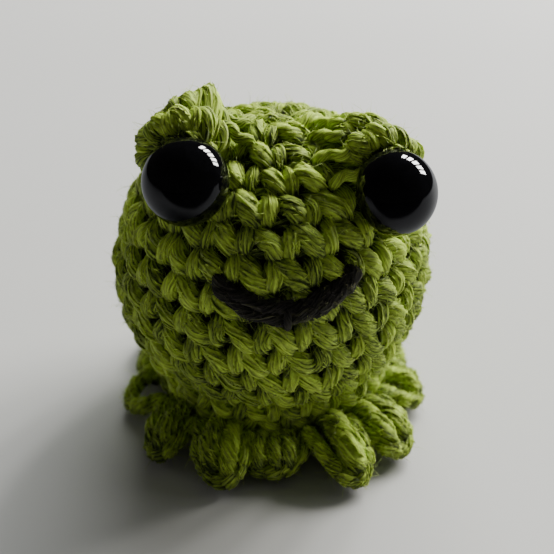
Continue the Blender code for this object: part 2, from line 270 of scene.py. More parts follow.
    def wisps(self, count, length=1.3, radius=0.085):
        """Short tufts that lie along the plies and catch the light, each hugging the yarn under it."""
        rng = self.random
        root = self.open_places(count)
        out = np.vstack(self.outs)[root]
        heading = unit_rows(np.vstack(self.lays)[root] + 0.32 * rng.normal(0, 1, (count, 3)))
        side = unit_rows(np.cross(heading, out))
        reach = length * rng.uniform(0.5, 1.0, (count, 1))
        sway = 0.3 * rng.normal(0, 1, (count, 1))
        base = np.vstack(self.verts)[root] + rng.uniform(-0.02, 0.05, (count, 1)) * out
        share = np.linspace(-0.5, 0.5, 4)
        middle = []
        for t in share:
            x = reach * t
            middle.append(base + heading * x + side * sway * x * x - out * x * x / (2 * TUFT_BEND_RADIUS))
        thick = radius * (1 - 0.75 * (2 * share) ** 2)
        self.hairs(middle, heading, side, thick, root)

    def open_places(self, count):
        """Random vertices away from the strands' ends."""
        able = np.flatnonzero(np.vstack(self.shade)[:, 2] > 0.55)
        return self.random.choice(able, count)

    def hairs(self, middle, heading, side, thick, root):
        """Closed tubes of three sides round the given middle lines."""
        rng = self.random
        count = len(heading)
        rings = len(middle)
        other = np.cross(heading, side)
        # Each hair takes the openness of its root, so it gets the same painted shade as the yarn under it.
        opened = np.vstack(self.shade)[root, 2]
        tube = np.zeros((count, rings, 3, 3))
        for r in range(rings):
            for k in range(3):
                a = 2 * math.pi * k / 3
                tube[:, r, k] = middle[r] + thick[r] * (math.cos(a) * side + math.sin(a) * other)
        self.verts.append(tube.reshape(-1, 3))
        self.outs.append(np.repeat(heading, rings * 3, axis=0))
        self.lays.append(np.repeat(heading, rings * 3, axis=0))
        self.fibre.append(np.repeat(rng.uniform(0, 8, (count, 3)), rings * 3, axis=0))
        shade = np.stack([np.ones(count), rng.uniform(0, 1.6, count), opened], 1)
        self.shade.append(np.repeat(shade, rings * 3, axis=0))
        self.hair_faces(count, rings)
        self.count += count * rings * 3

    def hair_faces(self, count, rings):
        """Walls and ends of the hairs whose vertices start at count, with their places in the layout."""
        grid = self.count + np.arange(count * rings * 3).reshape(count, rings, 3)
        here, there = grid[:, :-1], grid[:, 1:]
        walls = np.stack([here, np.roll(here, -1, axis=2), np.roll(there, -1, axis=2), there], -1)
        self.faces.append(walls.reshape(-1, 4))
        none = np.full((count, 1), -1)
        self.faces.append(np.hstack([grid[:, 0, ::-1], none]))
        self.faces.append(np.hstack([grid[:, -1], none]))

        across = math.ceil(math.sqrt(count))
        h, r, k = np.meshgrid(np.arange(count), np.arange(rings - 1), np.arange(3), indexing="ij")
        corners = np.stack([r, k, r, k + 1, r + 1, k + 1, r + 1, k], -1).reshape(-1, 4, 2)
        corners = corners / np.array([rings, 3.3])
        home = np.stack([h // across, h % across], -1).reshape(-1, 1, 2)
        self.place_faces((home + corners) / across)
        home = np.stack([np.arange(count) // across, np.arange(count) % across], -1).reshape(-1, 1, 2)
        point = np.array([[0.0, 0.0], [0.0, 0.1], [0.05, 0.05], [0.0, 0.0]])
        for shift in (0.0, 0.85):
            self.place_faces((home + point + np.array([shift, 0.0])) / across)
        self.cells += 1

    def build(self, material, adjust=None, painted_shade_factor=None):
        """The mesh object. adjust moves its vertices, and the factor after it tells how open to view each
        place is;
        the material paints closed places darker, as shade.
        """
        verts = np.vstack(self.verts)
        if adjust is not None:
            verts = adjust(verts)
        shade = np.vstack(self.shade)
        # Painted shade: openness falls where the given factor says a place is tucked away.
        if painted_shade_factor is not None:
            shade[:, 2] *= painted_shade_factor(verts)
        faces = np.vstack(self.faces)
        four = faces[:, 3] >= 0
        quads = faces[four]
        tris = faces[~four][:, :3]
        places = np.vstack(self.places)
        places = np.vstack([places[four].reshape(-1, 3), places[~four][:, :3].reshape(-1, 3)])
        across = math.ceil(math.sqrt(self.cells))
        column = places[:, :1] % across
        row = places[:, :1] // across
        layout = (np.hstack([column, row]) + 0.06 + 0.88 * places[:, 1:]) / across
        loops = np.concatenate([quads.ravel(), tris.ravel()])
        sizes = np.concatenate([np.full(len(quads), 4), np.full(len(tris), 3)])
        starts = np.concatenate([[0], np.cumsum(sizes)[:-1]])
        mesh = bpy.data.meshes.new(self.name)
        mesh.vertices.add(len(verts))
        mesh.vertices.foreach_set("co", (verts * MM).astype(np.float32).ravel())
        mesh.loops.add(len(loops))
        mesh.loops.foreach_set("vertex_index", loops.astype(np.int32))
        mesh.polygons.add(len(sizes))
        mesh.polygons.foreach_set("loop_start", starts.astype(np.int32))
        mesh.polygons.foreach_set("loop_total", sizes.astype(np.int32))
        mesh.update(calc_edges=True)
        flat = mesh.uv_layers.new(name="OFBake")
        flat.data.foreach_set("uv", layout.astype(np.float32).ravel())
        mesh.validate()
        mesh.shade_smooth()
        for name, rows in (("fibre", np.vstack(self.fibre)), ("shade", shade)):
            attribute = mesh.attributes.new(name, "FLOAT_VECTOR", "POINT")
            attribute.data.foreach_set("vector", rows.astype(np.float32).ravel())
        mesh.materials.append(material)
        return add_object(self.name, mesh)


# ---------------------------------------------------------------- materials


def new_material(name):
    material = bpy.data.materials.new(name)
    material.use_nodes = True
    nodes = material.node_tree.nodes
    return material, nodes, material.node_tree.links, nodes["Principled BSDF"]


def ramp_node(nodes, stops):
    ramp = nodes.new("ShaderNodeValToRGB")
    elements = ramp.color_ramp.elements
    while len(elements) < len(stops):
        elements.new(0.5)
    for element, (position, colour) in zip(elements, stops):
        element.position = position
        element.color = (*colour, 1.0)
    return ramp


def math_node(nodes, links, operation, *values):
    """The result of a maths node whose inputs are numbers or other nodes' outputs."""
    node = nodes.new("ShaderNodeMath")
    node.operation = operation
    for socket, value in zip(node.inputs, values):
        if isinstance(value, bpy.types.NodeSocket):
            links.new(value, socket)
        else:
            socket.default_value = value
    return node.outputs[0]


def mix_colour(nodes, links, mode, factor, first, second):
    """The result of a colour mix of another node's colour with a fixed one."""
    mix = nodes.new("ShaderNodeMix")
    mix.data_type = "RGBA"
    mix.blend_type = mode
    links.new(factor, mix.inputs["Factor"])
    links.new(first, mix.inputs[6])
    mix.inputs[7].default_value = (*second, 1.0)
    return mix.outputs[2]


def place_noise(nodes, links, scale, detail):
    """Noise that depends on where the surface is."""
    noise = nodes.new("ShaderNodeTexNoise")
    noise.inputs["Scale"].default_value = scale
    noise.inputs["Detail"].default_value = detail
    position = nodes.new("ShaderNodeNewGeometry")
    links.new(position.outputs["Position"], noise.inputs["Vector"])
    return noise.outputs["Fac"]


def add_bump(nodes, links, shader, height, strength, distance):
    bump = nodes.new("ShaderNodeBump")
    bump.inputs["Strength"].default_value = strength
    bump.inputs["Distance"].default_value = distance
    links.new(height, bump.inputs["Height"])
    links.new(bump.outputs["Normal"], shader.inputs["Normal"])


def yarn_material(name, deep, middle, light, roughness, sheen_tint):
    """Twisted acrylic yarn: streaks along the fibres, partly their tone and partly painted glints, painted
    shade between the plies, with a soft sheen.
    """
    material, nodes, links, shader = new_material(name)
    fibre = nodes.new("ShaderNodeAttribute")
    fibre.attribute_name = "fibre"
    shade = nodes.new("ShaderNodeAttribute")
    shade.attribute_name = "shade"
    split = nodes.new("ShaderNodeSeparateXYZ")
    links.new(shade.outputs["Vector"], split.inputs[0])

    # Streaks along the fibres: partly the fibres' own tone, partly painted glints.
    stretch = nodes.new("ShaderNodeMapping")
    stretch.inputs["Scale"].default_value = (9.0, 9.0, 16.0)
    links.new(fibre.outputs["Vector"], stretch.inputs["Vector"])
    fine = nodes.new("ShaderNodeTexNoise")
    fine.inputs["Scale"].default_value = 1.0
    fine.inputs["Detail"].default_value = 3.0
    fine.inputs["Roughness"].default_value = 0.65
    links.new(stretch.outputs["Vector"], fine.inputs["Vector"])

    # Fibre noise (fibre tone and painted glints), the ply's crest (painted shade in its grooves), the strand's
    # tone and broad patches add up to a place on the colour ramp, and what is tucked away between stitches
    # falls to its dark end as painted shade.
    level = math_node(nodes, links, "MULTIPLY_ADD", fine.outputs["Fac"], 1.0, -0.27)
    broad = place_noise(nodes, links, 380.0, 2.0)
    weights = ((split.outputs["X"], 0.30), (split.outputs["Y"], 0.26), (broad, 0.22))
    for source, weight in weights:
        level = math_node(nodes, links, "MULTIPLY_ADD", source, weight, level)
    tucked_shade = math_node(nodes, links, "MULTIPLY_ADD", split.outputs["Z"], 0.50, -0.46)
    level = math_node(nodes, links, "ADD", level, tucked_shade)

    dim = tuple(0.45 * d + 0.55 * m for d, m in zip(deep, middle))
    ramp = ramp_node(nodes, ((0.0, deep), (0.12, dim), (0.38, middle), (1.0, light)))
    links.new(level, ramp.inputs["Fac"])
    links.new(ramp.outputs["Color"], shader.inputs["Base Color"])

    gloss = nodes.new("ShaderNodeMapRange")
    links.new(fine.outputs["Fac"], gloss.inputs["Value"])
    gloss.inputs["From Min"].default_value = 0.3
    gloss.inputs["From Max"].default_value = 0.7
    gloss.inputs["To Min"].default_value = roughness + 0.15
    gloss.inputs["To Max"].default_value = roughness - 0.12
    links.new(gloss.outputs["Result"], shader.inputs["Roughness"])
    shader.inputs["Subsurface Weight"].default_value = 0.30
    shader.inputs["Subsurface Radius"].default_value = (0.8, 1.0, 0.35)
    shader.inputs["Subsurface Scale"].default_value = 0.0007
    shader.inputs["Specular IOR Level"].default_value = 0.35
    shader.inputs["Specular Tint"].default_value = (*sheen_tint, 1.0)
    shader.inputs["Sheen Weight"].default_value = 0.08
    shader.inputs["Sheen Roughness"].default_value = 0.45
    shader.inputs["Sheen Tint"].default_value = (*sheen_tint, 1.0)
    add_bump(nodes, links, shader, fine.outputs["Fac"], 0.55, 0.00012)
    return material


GREEN = yarn_material(
    "green_yarn_looks",
    deep=(0.0150, 0.0205, 0.0075),
    middle=(0.038, 0.054, 0.0235),
    light=(0.660, 0.900, 0.118),
    roughness=0.55,
    sheen_tint=(0.80, 1.0, 0.05),
)
BLACK = yarn_material(
    "black_yarn_looks",
    deep=(0.001, 0.001, 0.001),
    middle=(0.003, 0.003, 0.003),
    light=(0.055, 0.050, 0.042),
    roughness=0.8,
    sheen_tint=(0.5, 0.5, 0.6),
)


def eye_plastic():
    """Polished black plastic with faint moulding haze and fine wear."""
    material, nodes, links, shader = new_material("eye_plastic_looks")
    haze = place_noise(nodes, links, 900.0, 4.0)
    ramp = ramp_node(nodes, ((0.3, (0.0015, 0.0015, 0.002)), (0.8, (0.004, 0.004, 0.005))))
    links.new(haze, ramp.inputs["Fac"])
    links.new(ramp.outputs["Color"], shader.inputs["Base Color"])
    rough = nodes.new("ShaderNodeMapRange")
    links.new(haze, rough.inputs["Value"])
    rough.inputs["To Min"].default_value = 0.015
    rough.inputs["To Max"].default_value = 0.045
    links.new(rough.outputs["Result"], shader.inputs["Roughness"])
    shader.inputs["IOR"].default_value = 1.5
    shader.inputs["Coat Weight"].default_value = 0.3
    shader.inputs["Coat Roughness"].default_value = 0.03
    return material


def mottled(name, dark, light, scale, roughness, bump_strength):
    """A plain material with fine mottling and bump, for what is seen through gaps or not at all."""
    material, nodes, links, shader = new_material(name)
    noise = place_noise(nodes, links, scale, 5.0)
    ramp = ramp_node(nodes, ((0.3, dark), (0.7, light)))
    links.new(noise, ramp.inputs["Fac"])
    links.new(ramp.outputs["Color"], shader.inputs["Base Color"])
    shader.inputs["Roughness"].default_value = roughness
    add_bump(nodes, links, shader, noise, bump_strength, 0.0003)
    return material


EYE_PLASTIC = eye_plastic()
# Painted shade: dark olive for the shadow seen through gaps between stitches.
GAP_SHADE = mottled("gap_shade_looks", (0.014, 0.019, 0.001), (0.05, 0.066, 0.004), 1400.0, 0.9, 0.8)
GREEN_PLAIN = mottled("green_yarn_plain_looks", (0.03, 0.04, 0.008), (0.16, 0.21, 0.03), 1400.0, 0.8, 0.8)
BLACK_PLAIN = mottled("black_yarn_plain_looks", (0.001,) * 3, (0.012,) * 3, 1400.0, 0.8, 0.8)
FIBREFILL = mottled("fibrefill_looks", (0.55, 0.55, 0.53), (0.85, 0.85, 0.83), 900.0, 0.95, 0.8)
WASHER = mottled("washer_looks", (0.62, 0.62, 0.58), (0.75, 0.75, 0.71), 500.0, 0.4, 0.1)


def paint(node, material):
    obj = frame["nodes"][node]
    obj.data.materials.clear()
    obj.data.materials.append(material)


def finish_piece(obj, body, slot, *nodes):
    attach(obj, body)
    if nodes:
        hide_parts(*nodes)


# ---------------------------------------------------------------- eye places

# Each eye's centre in mm and the way it looks, by side.
EYES = {}
for joint in frame["joints"]:
    if joint["name"].endswith("_eye_turn"):
        EYES[joint["name"][: -len("_eye_turn")]] = (np.array(joint["pos_m"]) / MM, unit(joint["axis"]))
EYE_RADIUS = 6.0
EYE_HEIGHT = 5.6
EYE_RIM = 0.8
EYE_ROOM = 0.25
STEM_RADIUS = 2.1
STEM_LENGTH = 12.4
STEM_RIBS = 7
STEM_FIRST_RIB = 5.0


def clear_of_eyes(verts):
    """Moves yarn out of the eyes' domes: back behind the rim, or outwards beside it."""
    behind = -EYE_RIM - 0.2
    for centre, axis in EYES.values():
        offset = verts - centre
        height = offset @ axis
        beside = offset - height[:, None] * axis
        distance = np.linalg.norm(beside, axis=1)
        room = EYE_RADIUS + EYE_ROOM
        inside = (height > behind) & (distance < room) & (height < EYE_HEIGHT)
        dome = room * np.sqrt(np.clip(1 - (np.maximum(height, 0) / (EYE_HEIGHT + EYE_ROOM)) ** 2, 0, 1))
        inside &= distance < dome
        back = inside & ((height < 1.2) | (distance < 4.0))
        verts[back] -= (height[back] - behind)[:, None] * axis
        push = inside & ~back
        verts[push] += beside[push] * (dome[push] / np.maximum(distance[push], 0.1) - 1)[:, None]
    return verts


# ---------------------------------------------------------------- smile

SMILE_CORNERS = (-25.0, 22.5)
SMILE_CORNER_ELEVATION = 20.4
SMILE_BOTTOM_ELEVATION = 11.8
SMILE_RADIUS = 1.1
SMILE_SPREAD = 1.7
SMILE_SEAT = HEAD_RADIUS - 0.9
SMILE_PRESS = 0.95
SMILE_PRESS_WIDTH = 1.4


def smile_elevation(azimuth):
    low, high = SMILE_CORNERS
    share = 2 * (azimuth - low) / (high - low) - 1
    return SMILE_BOTTOM_ELEVATION + (SMILE_CORNER_ELEVATION - SMILE_BOTTOM_ELEVATION) * share**2


def smile_line(count):
    low, high = SMILE_CORNERS
    return np.array([on_head(a, smile_elevation(a), SMILE_SEAT) for a in np.linspace(low, high, count)])


SMILE_LINE = smile_line(61)


def settle(verts):
    """Presses the stitches in under the smile yarn, and flat where the toy rests."""
    offset = verts - HEAD_CENTRE
    distance = np.linalg.norm(offset, axis=1)
    outward = offset / distance[:, None]
    near = (outward[:, 1] < -0.5) & (outward[:, 2] > -0.1) & (outward[:, 2] < 0.65)
    if near.any():
        points = verts[near]
        gap = np.full(len(points), 1e9)
        for spot in unit_rows(SMILE_LINE - HEAD_CENTRE):
            gap = np.minimum(gap, np.linalg.norm(outward[near] - spot, axis=1))
        gap = gap * HEAD_RADIUS
        push = SMILE_PRESS * np.exp(-((gap / SMILE_PRESS_WIDTH) ** 2))
        over = np.clip((distance[near] - FABRIC_RADIUS + 1.2) / 2.0, 0, 1)
        verts[near] = points - outward[near] * (push * over)[:, None]
    low = verts[:, 2] < 1.0
    z = verts[low, 2]
    verts[low, 2] = 0.05 + 0.5 * (z + np.sqrt(z * z + 0.12))
    return clear_of_eyes(verts)


# ---------------------------------------------------------------- head

# The two legs of a stitch as (across in widths, up in row heights, out in mm).
LEFT_LEG = (
    (-0.50, 0.52, -1.9),
    (-0.44, 0.34, -0.75),
    (-0.32, 0.10, 0.25),
    (-0.15, -0.18, 0.82),
    (-0.02, -0.42, 0.35),
    (0.04, -0.54, -1.2),
)
RIGHT_LEG = (
    (0.22, -0.54, -1.3),
    (0.25, -0.40, 0.2),
    (0.31, -0.12, 0.65),
    (0.38, 0.14, 0.1),
    (0.43, 0.36, -0.8),
    (0.44, 0.50, -1.9),
)
RIGHT_LEG_SHARE = 0.93


def crochet_stitch(piece, place, radius, out, spread=1.0):
    """Both legs of one stitch; place(s, t, n) gives the point s widths across, t heights up and n mm out."""
    rng = piece.random
    lean = rng.normal(0, 1, 3) * np.array([0.04, 0.035, 0.16]) * spread
    for leg, share in ((LEFT_LEG, 1.0), (RIGHT_LEG, RIGHT_LEG_SHARE)):
        points = []
        for step in leg:
            wander = rng.normal(0, 1, 3) * np.array([0.022, 0.02, 0.08]) * spread
            s, t, n = np.array(step) + lean + wander
            points.append(place(s, t, n))
        piece.strand(points, radius * share * rng.uniform(0.93, 1.07), hint=out, flat=0.9)


# Painted shade: stitches are painted darker the deeper they sink below the fabric's crest.
def head_painted_shade_factor(verts):
    distance = np.linalg.norm(verts - HEAD_CENTRE, axis=1)
    return np.clip((distance - FABRIC_RADIUS + 0.7) / 2.0, 0.0, 1.0)


def crochet_round(index, count):
    """One turn of the spiral that the head is worked in."""
    piece = YarnPiece("head_round_%02d" % (index + 1), 100 + index)
    width_angle = 360.0 / count
    first_edge = FIRST_ROW_EDGE + ROW_ANGLE * index
    slope = ROW_ANGLE / count
    start = index * ROUND_START_STEP
    for i in range(count):
        azimuth = start + (i + 0.5) * width_angle
        turn = ((azimuth + 180.0) % 360.0) - 180.0
        colatitude = first_edge + ROW_ANGLE * (0.5 + turn / 360.0)
        middle = max(colatitude, 7.0)
        width = math.radians(width_angle) * FABRIC_RADIUS * abs(math.sin(math.radians(middle)))
        fit = min(1.0, 0.55 + 0.45 * width / FULL_STITCH_WIDTH)

        def place(s, t, n):
            below = 90.0 - colatitude + t * ROW_ANGLE - s * slope
            return on_head(azimuth + s * width_angle, below, FABRIC_RADIUS + n * fit)

        crochet_stitch(piece, place, YARN_RADIUS * fit, direction(azimuth, 90.0 - colatitude))
    ring = []
    for i in range(4 * count + 1):
        azimuth = start + i * width_angle / 4
        turn = ((azimuth + 180.0) % 360.0) - 180.0
        edge = first_edge + ROW_ANGLE * (0.98 + min(max(turn, -176.0), 176.0) / 360.0)
        wave = 0.25 * math.cos(0.5 * math.pi * i)
        ring.append(on_head(azimuth, 90.0 - edge, FABRIC_RADIUS - 0.75 + wave))
    if 0 < index < len(ROUND_COUNTS) - 1:
        piece.strand(ring, 0.95, hint=(0, 0, 1), plies=10, step=0.6)
    piece.wisps(110 * count)
    piece.fuzz(60 * count, 1.4)
    finish_piece(piece.build(GREEN, settle, head_painted_shade_factor), "head", "green_yarn")


def lathe(name, profile, segments, material):
    """A closed turned mesh about Z from (radius, height) points in mm; the first and last lie on the axis."""
    rows = np.asarray(profile, float)
    angles = 2 * math.pi * np.arange(segments) / segments
    ring_rows = rows[1:-1]
    rings = len(ring_rows)
    verts = np.zeros((rings, segments, 3))
    verts[..., 0] = ring_rows[:, None, 0] * np.cos(angles)[None, :]
    verts[..., 1] = ring_rows[:, None, 0] * np.sin(angles)[None, :]
    verts[..., 2] = ring_rows[:, None, 1]
    points = np.vstack([verts.reshape(-1, 3), [[0, 0, rows[0, 1]], [0, 0, rows[-1, 1]]]])
    faces = []
    for r in range(rings - 1):
        for k in range(segments):
            m = (k + 1) % segments
            upper = r * segments
            lower = (r + 1) * segments
            faces.append((upper + k, lower + k, lower + m, upper + m))
    top, bottom = rings * segments, rings * segments + 1
    last = (rings - 1) * segments
    for k in range(segments):
        m = (k + 1) % segments
        faces.append((k, m, top))
        faces.append((last + m, last + k, bottom))
    mesh = bpy.data.meshes.new(name)
    mesh.from_pydata([tuple(p * MM) for p in points], [], faces)
    mesh.validate()
    mesh.shade_smooth()
    mesh.materials.append(material)
    return add_object(name, mesh)


def gap_shade_ball(name, centre, radius, steps, segments, *nodes):
    """A dark ball inside the stitches, so that no gap between them shows through: painted shade in the gaps.
    """
    profile = [(0.0, radius)]
    for i in range(1, steps):
        a = math.pi * i / steps
        profile.append((radius * math.sin(a), radius * math.cos(a)))
    profile.append((0.0, -radius))
    obj = lathe(name, profile, segments, GAP_SHADE)
    obj.location = Vector(centre) * MM
    finish_piece(obj, "head", "green_yarn", *nodes)


def crown_knot():
    """The drawn-up start of the spiral."""
    piece = YarnPiece("head_crown_knot", 90)
    for heading in (20.0, 95.0):
        points = []
        for polar in (11.0, 7.0, 2.0, -4.0, -9.0):
            points.append(on_head(heading, 90.0 - polar, FABRIC_RADIUS + 0.35 - 0.016 * polar * polar))
        piece.strand(points, 1.25, hint=(0, 0, 1))
    piece.wisps(260)
    piece.fuzz(120, 1.4)
    finish_piece(piece.build(GREEN), "head", "green_yarn")


def head():
    crown_knot()
    for index, count in enumerate(ROUND_COUNTS):
        crochet_round(index, count)
    # Painted shade behind the head's stitches, in place of the hidden cover.
    gap_shade_ball("head_gap_shade", HEAD_CENTRE, FABRIC_RADIUS - 0.72, 48, 96, "head_cover")


def smile_strands():
    """Two strands side by side and a third that thickens the toy's left half, with sunk ends."""
    piece = YarnPiece("smile_strand", 300)
    low, high = SMILE_CORNERS
    sunk = SMILE_SEAT - 3.2
    runs = (
        (low, high, SMILE_SPREAD, 0.05),
        (low + 0.8, high - 0.5, -SMILE_SPREAD, 0.0),
        (3.0, high + 1.2, 0.1 * SMILE_SPREAD, 0.35),
    )
    for first, last, above, out in runs:
        points = [on_head(first, smile_elevation(first) + 0.4 * above, sunk)]
        for i in range(15):
            a = first + (last - first) * i / 14
            spread = above * min(1.0, 0.45 + 2.6 * min(i, 14 - i) / 14)
            sway = 0.35 * math.sin(1.9 * i + above)
            points.append(on_head(a, smile_elevation(a) + spread + sway, SMILE_SEAT + 0.15 + out))
        points.append(on_head(last, smile_elevation(last) + 0.4 * above, sunk))
        piece.strand(points, SMILE_RADIUS, hint=direction(0, 15))
    piece.fuzz(700, 1.2)
    finish_piece(piece.build(BLACK), "head", "black_yarn", "smile_yarn")


def smile_tack():
    """A short arch of yarn over the middle of the smile."""
    tack = YarnPiece("smile_tack_strand", 301)
    azimuth = -1.0
    elevation = smile_elevation(azimuth)
    centre = on_head(azimuth, elevation - 1.6, SMILE_SEAT - 0.2)
    outward = direction(azimuth, elevation)
    upward = direction(azimuth, elevation + 90)
    arch = 1.5
    points = []
    for i in range(9):
        a = math.pi * (-0.15 + 1.3 * i / 8)
        points.append(centre + upward * arch * math.cos(a) + outward * arch * math.sin(a))
    tack.strand(points, 0.55, hint=outward, plies=7, step=0.3)
    finish_piece(tack.build(BLACK), "head", "black_yarn", "smile_tack")


# ---------------------------------------------------------------- eyes and mounds


def safety_eye(side):
    """The domed eye with a rolled rim and its ribbed stem, as one smooth turned piece."""
    profile = [(0.0, EYE_HEIGHT)]
    for i in range(1, 33):
        a = math.radians(90 - 90 * i / 32)
        profile.append((EYE_RADIUS * math.cos(a), EYE_HEIGHT * math.sin(a)))
    for i in range(1, 7):
        a = math.radians(90 * i / 6)
        profile.append((EYE_RADIUS - 0.4 + 0.4 * math.cos(a), -0.4 - 0.4 * math.sin(a)))
    profile.append((STEM_RADIUS + 0.3, -EYE_RIM))
    profile.append((STEM_RADIUS, -EYE_RIM - 0.3))
    for i in range(STEM_RIBS):
        top = -STEM_FIRST_RIB - i
        profile.append((STEM_RADIUS, top))
        profile.append((STEM_RADIUS * 0.86, top - 0.2))
        profile.append((STEM_RADIUS * 0.86, top - 0.4))
    profile.append((STEM_RADIUS * 0.8, -STEM_LENGTH))
    profile.append((0.0, -STEM_LENGTH))
    obj = lathe(side + "_eye_dome", profile, 96, EYE_PLASTIC)
    centre, axis = EYES[side]
    obj.rotation_mode = "QUATERNION"
    obj.rotation_quaternion = Vector(axis).to_track_quat("Z", "Y")
    obj.location = Vector(centre) * MM
    finish_piece(obj, side + "_eye_body", "eye_black", side + "_eye")


# From the head's centre.
MOUND_CENTRES = {"right": (-12.9, -4.7, 22.1), "left": (13.8, -6.7, 19.3)}
MOUND_RADIUS = 7.3
MOUND_FABRIC = MOUND_RADIUS - 2.1
# Where each mound is drawn out or pressed in: direction, distance in mm and how widely.
MOUND_SHAPES = {
    "right": (((0.48, 0.44, 0.76), 2.6, 0.055), ((-0.55, 0.42, 0.72), -1.9, 0.15)),
    "left": (((-0.46, 0.45, 0.77), 0.7, 0.055), ((0.60, 0.40, 0.69), -2.0, 0.15)),
}
# The rounds of a mound: their edges in degrees from the eye's side, and their stitches.
MOUND_EDGES = (8.0, 46.0, 86.0, 126.0, 168.0)
MOUND_COUNTS = (7, 11, 12, 8)
SEWING_STITCHES = 13
# The sewing stops this many degrees from the eye's side, where it would show under the dome.
SEWING_EDGE = 56.0


def around_axis(axis):
    """Two directions at right angles to an axis and to each other."""
    first = unit(np.cross(axis, (0.0, 0.0, 1.0)))
    return first, np.cross(axis, first)


def mound_place(side):
    """A mound's centre and the way from it to its eye."""
    centre = HEAD_CENTRE + np.array(MOUND_CENTRES[side])
    return centre, unit(EYES[side][0] - centre)


def mound_stitches(side):
    """A small crocheted cap whose stitches radiate from behind the eye."""
    piece = YarnPiece(side + "_mound_stitches", 400 + len(side))
    centre, pole = mound_place(side)
    across, upward = around_axis(pole)

    def spot(around, polar, radius):
        a, p = math.radians(around), math.radians(polar)
        spoke = math.cos(a) * across + math.sin(a) * upward
        return centre + radius * (math.cos(p) * pole + math.sin(p) * spoke)

    for row, count in enumerate(MOUND_COUNTS):
        low, high = MOUND_EDGES[row], MOUND_EDGES[row + 1]
        for i in range(count):
            around = 360.0 * (i + 0.5 * row) / count

            def place(s, t, n):
                return spot(around + s * 360.0 / count, (low + high) / 2 - t * (high - low), MOUND_FABRIC + n)

            middle = spot(around, (low + high) / 2, MOUND_FABRIC)
            if np.linalg.norm(middle - HEAD_CENTRE) < FABRIC_RADIUS - 3.0:
                continue
            crochet_stitch(piece, place, 1.3, unit(middle - centre), spread=1.4)
    piece.wisps(3000)
    piece.fuzz(1500, 1.5)

    def shape(verts):
        outward = unit_rows(verts - centre)
        for towards, amount, width in MOUND_SHAPES[side]:
            towards = unit(towards)
            verts = verts + towards * (amount * np.exp((outward @ towards - 1) / width))[:, None]
        return clear_of_eyes(verts)

    # Painted shade: the cap's yarn is painted darker as it sinks towards the mound's centre.
    def painted_shade_factor(verts):
        return np.clip((np.linalg.norm(verts - centre, axis=1) - MOUND_FABRIC + 1.0) / 2.0, 0.3, 1.0)

    finish_piece(piece.build(GREEN, shape, painted_shade_factor), "head", "green_yarn", side + "_eye_mound")


def mound_sewing(side):
    """Whip stitches over the circle where the mound meets the head."""
    piece = YarnPiece(side + "_mound_whipstitches", 420 + len(side))
    centre, pole = mound_place(side)
    axis = unit(centre - HEAD_CENTRE)
    apart = np.linalg.norm(centre - HEAD_CENTRE)
    along = (apart**2 + HEAD_RADIUS**2 - MOUND_RADIUS**2) / (2 * apart)
    ring = math.sqrt(HEAD_RADIUS**2 - along**2)
    first, second = around_axis(axis)

    def spot(turn, rise, reach):
        spoke = math.cos(turn) * first + math.sin(turn) * second
        return HEAD_CENTRE + axis * (along + rise) + spoke * reach

    for i in range(SEWING_STITCHES):
        a = 2 * math.pi * (i + 0.5) / SEWING_STITCHES
        b = a + 0.16
        seam = spot(a, 0.0, ring)
        if (unit(seam - centre) @ pole) > math.cos(math.radians(SEWING_EDGE)):
            continue
        outward = unit(math.cos(a) * first + math.sin(a) * second + 0.5 * axis)
        points = [
            spot(a, -2.4, ring + 0.6),
            spot(a, -1.0, ring + 1.9),
            seam + outward * 0.7,
            spot(b, 1.5, ring + 0.2),
            spot(b, 2.6, ring - 1.2),
        ]
        piece.strand(points, 0.8, hint=outward, plies=13)
    finish_piece(piece.build(GREEN, clear_of_eyes), "head", "green_yarn", side + "_mound_sewing")


def eye_mound(side):
    mound_stitches(side)
    # Painted shade behind the mound's stitches.
    gap_shade_ball(side + "_mound_gap_shade", mound_place(side)[0], MOUND_FABRIC - 0.6, 24, 32)
    mound_sewing(side)


# ---------------------------------------------------------------- skirt

# Each lobe's hinge in mm.
FLEX = {}
for joint in frame["joints"]:
    if joint["name"].endswith("_flex"):
        FLEX[joint["name"][: -len("_flex")]] = np.array(joint["pos_m"]) / MM
# The fat stitches within each lobe's rim as (sideways share, radius), then the lift of its middle, how much
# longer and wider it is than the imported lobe, and how far its root and its tip sit to the side of its hinge,
# all in mm. The lobes that aren't named here are plain.
LOBE_LOOKS = {
    "skirt_lobe_01": (((-0.60, 1.45), (0.05, 1.3), (0.62, 1.45)), 0.4, -0.7, 1.9, -1.3, -0.6),
    "skirt_lobe_02": (((0.15, 2.1),), 2.3, 1.2, 0.4, 0.0, 0.0),
    "skirt_lobe_03": (((-0.55, 1.6), (0.50, 1.55)), 1.9, 0.9, 0.4, 0.0, -0.9),
    "skirt_lobe_04": (((0.30, 1.3),), 1.3, 0.3, 0.3, 0.0, 0.0),
    "skirt_lobe_13": ((), 0.4, 0.2, 0.2, 0.0, 0.0),
    "skirt_lobe_14": (((0.25, 1.7),), 1.3, 0.8, -0.2, -0.4, 2.6),
    "skirt_lobe_15": (((-0.50, 1.85), (0.55, 1.5)), 1.6, 0.2, 0.6, -0.9, 2.8),
}
PLAIN_LOBE = (((-0.50, 1.5), (0.50, 1.5)), 0.9, 0.3, 0.5, 0.0, 0.0)
# A lobe shorter than this has no room for fat stitches within its rim.
SHORT_LOBE = 5.0
LINK_LENGTH = 3.4

# The ring of hinges from which the lobes hang.
ANY_HINGE = next(iter(FLEX.values()))
RING_RADIUS = math.hypot(ANY_HINGE[0], ANY_HINGE[1])
RING_HEIGHT = ANY_HINGE[2]
ROPE_TURNS = 14

COLLAR_ELEVATION = -39.0
COLLAR_ROWS = 2
COLLAR_COUNT = 23


